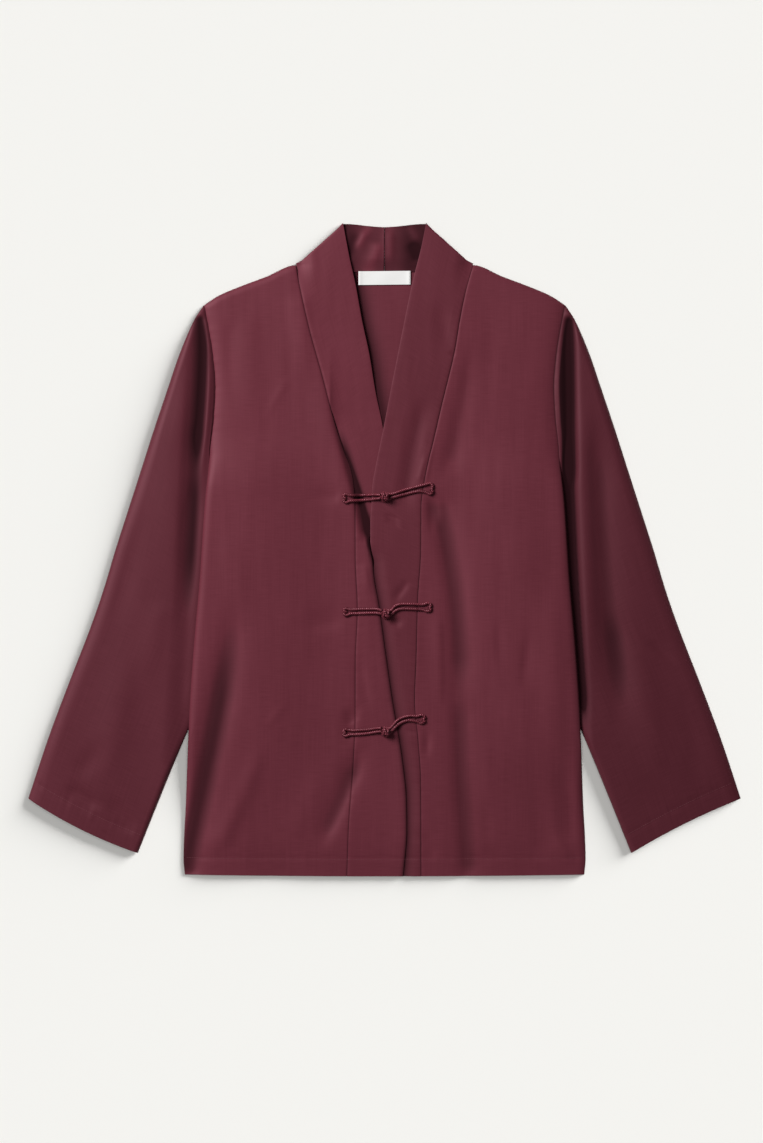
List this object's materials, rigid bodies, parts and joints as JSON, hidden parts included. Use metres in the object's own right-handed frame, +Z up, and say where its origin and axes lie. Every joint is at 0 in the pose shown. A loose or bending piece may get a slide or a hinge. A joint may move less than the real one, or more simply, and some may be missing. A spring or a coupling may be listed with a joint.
{
  "type": "frog closure blouse",
  "caption": "Long-sleeved boxy satin blouse laid flat, with a wide neckband running down both fronts and frog closures of twisted cord.",
  "frame": {"origin": "on the surface the blouse lies on, under the middle of its outline", "axes": "+X to the viewer's right across the fronts, +Y up the garment from the hem to the collar, +Z up off the surface"},
  "size_m": [0.7984, 0.7316, 0.0183],
  "materials": {
    "satin": "burgundy satin with a soft gloss",
    "frog_cord": "twisted satin cord",
    "label_tape": "white woven tape, bare"
  },
  "bodies": {
    "root": {"back": "satin", "front_right": "satin", "front_left": "satin", "sleeve_right": "satin", "sleeve_left": "satin", "band_right": "satin", "band_left": "satin", "label": "label_tape", "frog_1_knot_cord": "frog_cord", "frog_1_loop_cord": "frog_cord", "frog_1_knot": "frog_cord", "frog_2_knot_cord": "frog_cord", "frog_2_loop_cord": "frog_cord", "frog_2_knot": "frog_cord", "frog_3_knot_cord": "frog_cord", "frog_3_loop_cord": "frog_cord", "frog_3_knot": "frog_cord"}
  },
  "joints": []
}
